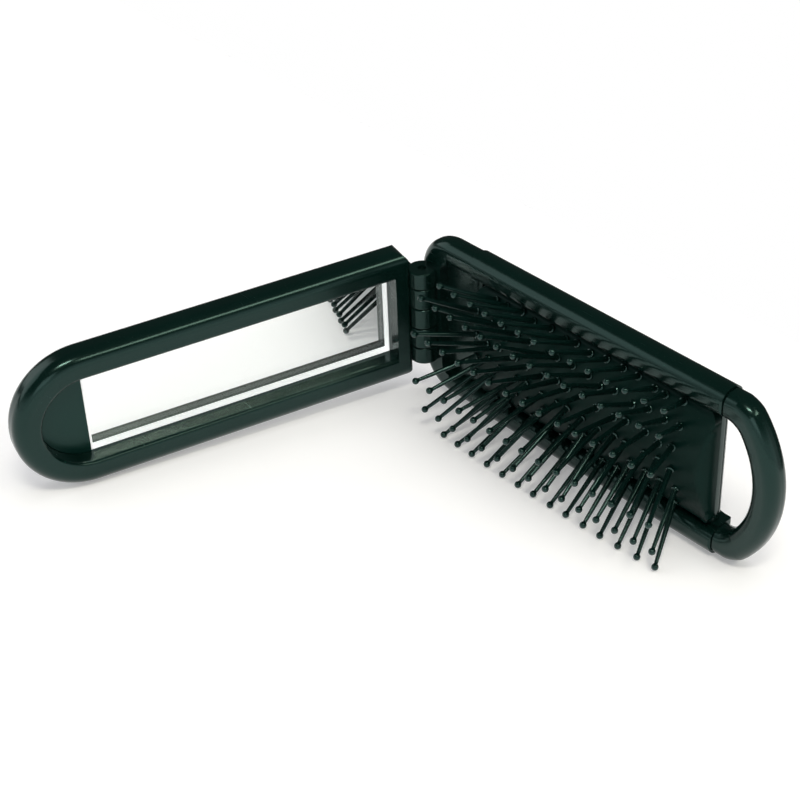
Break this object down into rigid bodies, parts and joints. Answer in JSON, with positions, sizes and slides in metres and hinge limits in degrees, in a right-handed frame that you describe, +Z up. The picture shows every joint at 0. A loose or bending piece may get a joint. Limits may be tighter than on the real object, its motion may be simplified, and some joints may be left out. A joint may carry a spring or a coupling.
{
  "type": "folding hairbrush with mirror",
  "caption": "Folding pocket hairbrush with ball-tipped pins on a cushion, a hanging loop and a hinged lid with a mirror.",
  "frame": {"origin": "on the surface it stands on, under the middle of the whole object's box", "axes": "+X along the brush half from the hinge to the loop, pins towards -Y, +Z up along the hinge axis"},
  "size_m": [0.1248, 0.0982, 0.0404],
  "materials": {
    "black_plastic": "glossy black moulded plastic with a green cast",
    "pin_plastic": "glossy black nylon",
    "rubber": "satin black rubber",
    "mirror": "silvered glass with ground edges",
    "steel": "drawn steel",
    "adhesive": "matt foam tape"
  },
  "bodies": {
    "brush": {"hinge_end": "black_plastic", "middle_shell": "black_plastic", "loop_end": "black_plastic", "upper_bar": "black_plastic", "lower_bar": "black_plastic", "pin_plate": "black_plastic", "cushion": "rubber", "pin_row_1": "pin_plastic", "pin_row_2": "pin_plastic", "pin_row_3": "pin_plastic", "pin_row_4": "pin_plastic", "pin_row_5": "pin_plastic", "pin_row_6": "pin_plastic"},
    "pin": {"hinge_pin": "steel"},
    "lid": {"lid_shell": "black_plastic", "mirror_adhesive": "adhesive", "mirror_glass": "mirror", "end_panel": "black_plastic"}
  },
  "joints": [
    {"name": "lid_close", "type": "hinge", "parent": "brush", "child": "pin", "pos_m": [-0.034, 0.04165, 0.0202], "axis": [0, 0, -1], "range_deg": [-103.6, 0], "deforming": ["pin_row_1", "pin_row_2", "pin_row_3", "pin_row_4", "pin_row_5", "pin_row_6"]},
    {"name": "lid_open", "type": "hinge", "parent": "pin", "child": "lid", "pos_m": [-0.034, 0.04165, 0.0202], "axis": [0, 0, -1], "range_deg": [0, 76.4]}
  ]
}
